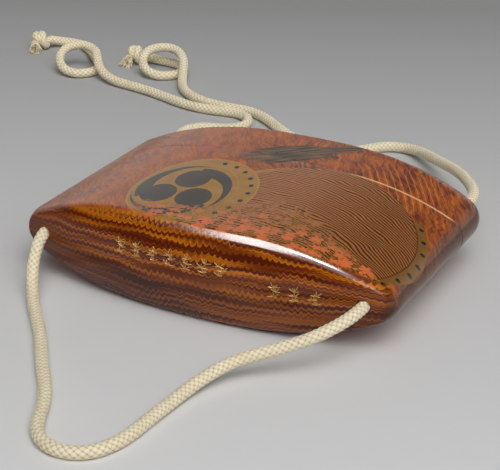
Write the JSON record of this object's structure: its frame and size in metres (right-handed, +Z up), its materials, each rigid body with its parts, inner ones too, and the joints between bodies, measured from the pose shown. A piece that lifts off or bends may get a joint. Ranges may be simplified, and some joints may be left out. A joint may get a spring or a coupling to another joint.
{
  "type": "inro case",
  "caption": "Flat lens-shaped lacquered inro case, hollow, with a lift-off lid and a braided cord through both sides that ends in knotted tails.",
  "frame": {"origin": "centre of the case's underside, on the surface that it lies on; the cord isn't counted", "axes": "+Z up through the case's thickness, +X along its width between the two cord bores, +Y from the near end to the lid's end"},
  "size_m": [0.1522, 0.1768, 0.0178],
  "materials": {
    "body_lacquer": "clear lacquer over mottled orange and dark red-brown wood grain, with a painted picture in black, brown, red and gold",
    "lid_lacquer": "clear lacquer over mottled orange and dark red-brown wood grain",
    "cord": "cream silk, round braid",
    "knot": "cream silk, tied and frayed"
  },
  "bodies": {
    "root": {"case_body": "body_lacquer", "lid": "lid_lacquer", "cord": "cord", "knot_left": "knot", "knot_right": "knot"}
  },
  "joints": []
}
